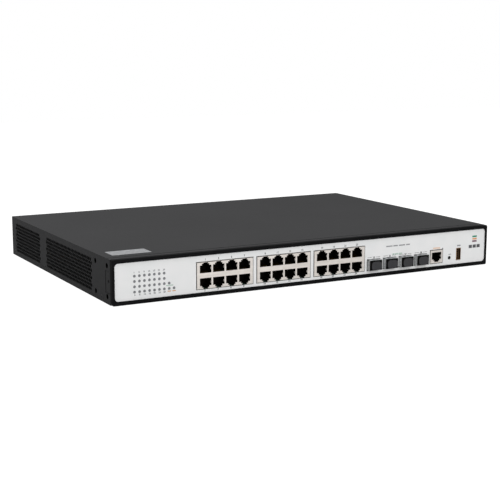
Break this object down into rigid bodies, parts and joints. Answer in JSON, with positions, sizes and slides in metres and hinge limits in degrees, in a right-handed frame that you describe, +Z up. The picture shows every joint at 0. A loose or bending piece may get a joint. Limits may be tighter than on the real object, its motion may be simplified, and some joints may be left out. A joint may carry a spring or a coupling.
{
  "type": "rackmount network switch",
  "caption": "Flat rack-width network switch: steel case with vented sides, framed front panel with port blocks, pluggable-module cages with dust plugs, console, reset and USB.",
  "frame": {"origin": "on the ground under the middle of the object, measured over the dust plugs and the inlet's flange", "axes": "+Z up, the port side faces -Y, +X to the right of someone who faces the ports"},
  "size_m": [0.44, 0.3122, 0.0437],
  "materials": {
    "case_paint": "fine-textured dark grey powder coat",
    "cover_paint": "fine-textured dark grey powder coat",
    "plated_steel": "zinc plated",
    "bezel_plastic": "moulded, fine satin",
    "panel_film": "printed film, satin",
    "black_screw": "black oxide",
    "plated_screw": "nickel plated",
    "jack_shield": "tinned",
    "jack_plastic": "moulded black",
    "contact_gold": "gold flashed",
    "cage_steel": "tinned",
    "spring_steel": "tinned",
    "plug_rubber": "moulded soft, matt",
    "button_plastic": "moulded",
    "light_guide": "smoky moulded acrylic",
    "led_resin": "cast",
    "board_green": "solder resist",
    "board_brown": "paper laminate",
    "standoff_brass": "turned",
    "chip_resin": "moulded",
    "heat_sink_aluminium": "extruded",
    "transformer_tape": "wrapped tape on a ferrite core",
    "capacitor_sleeve": "shrunk sleeve",
    "inlet_plastic": "moulded",
    "pin_nickel": "nickel plated",
    "lead_sheath": "extruded",
    "fan_plastic": "moulded",
    "rotor_plastic": "moulded",
    "label_foil": "silvered film"
  },
  "bodies": {
    "chassis": {"base_plate": "case_paint", "left_side_wall": "case_paint", "right_side_wall": "case_paint", "rear_wall": "case_paint", "front_wall": "plated_steel", "front_flanges": "case_paint", "top_cover": "cover_paint", "front_bezel": "bezel_plastic", "front_overlay": "panel_film", "side_brackets": "plated_steel", "side_screws": "black_screw", "rear_screws": "plated_screw", "ear_nuts": "plated_steel", "port_shield_1": "jack_shield", "port_shield_2": "jack_shield", "port_shield_3": "jack_shield", "port_housing_1": "jack_plastic", "port_housing_2": "jack_plastic", "port_housing_3": "jack_plastic", "port_contacts": "contact_gold", "console_shield": "jack_shield", "console_housing": "jack_plastic", "sfp_cage_1": "cage_steel", "sfp_cage_2": "cage_steel", "sfp_cage_3": "cage_steel", "sfp_cage_4": "cage_steel", "sfp_connectors": "jack_plastic", "sfp_springs": "spring_steel", "usb_shell": "cage_steel", "usb_tongue": "jack_plastic", "usb_contacts": "contact_gold", "reset_switch": "chip_resin", "led_light_guides": "light_guide", "led_board": "board_green", "led_chips": "led_resin", "main_board": "board_green", "board_standoffs": "standoff_brass", "board_screws": "plated_screw", "board_chips": "chip_resin", "heat_sink": "heat_sink_aluminium", "port_magnetics": "chip_resin", "power_board": "board_brown", "power_transformer": "transformer_tape", "power_capacitors": "capacitor_sleeve", "power_heat_plates": "heat_sink_aluminium", "mains_inlet": "inlet_plastic", "inlet_pins": "pin_nickel", "earth_screw": "plated_screw", "internal_leads": "lead_sheath", "fan_1_frame": "fan_plastic", "fan_2_frame": "fan_plastic", "fan_screws": "black_screw", "top_label": "label_foil"},
    "dust_plug_1": {"dust_plug_1": "plug_rubber"},
    "dust_plug_2": {"dust_plug_2": "plug_rubber"},
    "dust_plug_3": {"dust_plug_3": "plug_rubber"},
    "dust_plug_4": {"dust_plug_4": "plug_rubber"},
    "reset_button": {"reset_button": "button_plastic"},
    "fan_1_rotor": {"fan_1_rotor": "rotor_plastic"},
    "fan_2_rotor": {"fan_2_rotor": "rotor_plastic"}
  },
  "joints": [
    {"name": "plug_1_pull", "type": "slide", "parent": "chassis", "child": "dust_plug_1", "axis": [0, -1, 0], "range_m": [0, 0.02]},
    {"name": "plug_2_pull", "type": "slide", "parent": "chassis", "child": "dust_plug_2", "axis": [0, -1, 0], "range_m": [0, 0.02]},
    {"name": "plug_3_pull", "type": "slide", "parent": "chassis", "child": "dust_plug_3", "axis": [0, -1, 0], "range_m": [0, 0.02]},
    {"name": "plug_4_pull", "type": "slide", "parent": "chassis", "child": "dust_plug_4", "axis": [0, -1, 0], "range_m": [0, 0.02]},
    {"name": "reset_press", "type": "slide", "parent": "chassis", "child": "reset_button", "axis": [0, 1, 0], "range_m": [0, 0.0005], "stiffness_N_per_m": 1500},
    {"name": "fan_1_spin", "type": "hinge", "parent": "chassis", "child": "fan_1_rotor", "pos_m": [0.209, -0.06288, 0.0218], "axis": [1, 0, 0], "continuous": true},
    {"name": "fan_2_spin", "type": "hinge", "parent": "chassis", "child": "fan_2_rotor", "pos_m": [0.209, -0.00887, 0.0218], "axis": [1, 0, 0], "continuous": true}
  ]
}
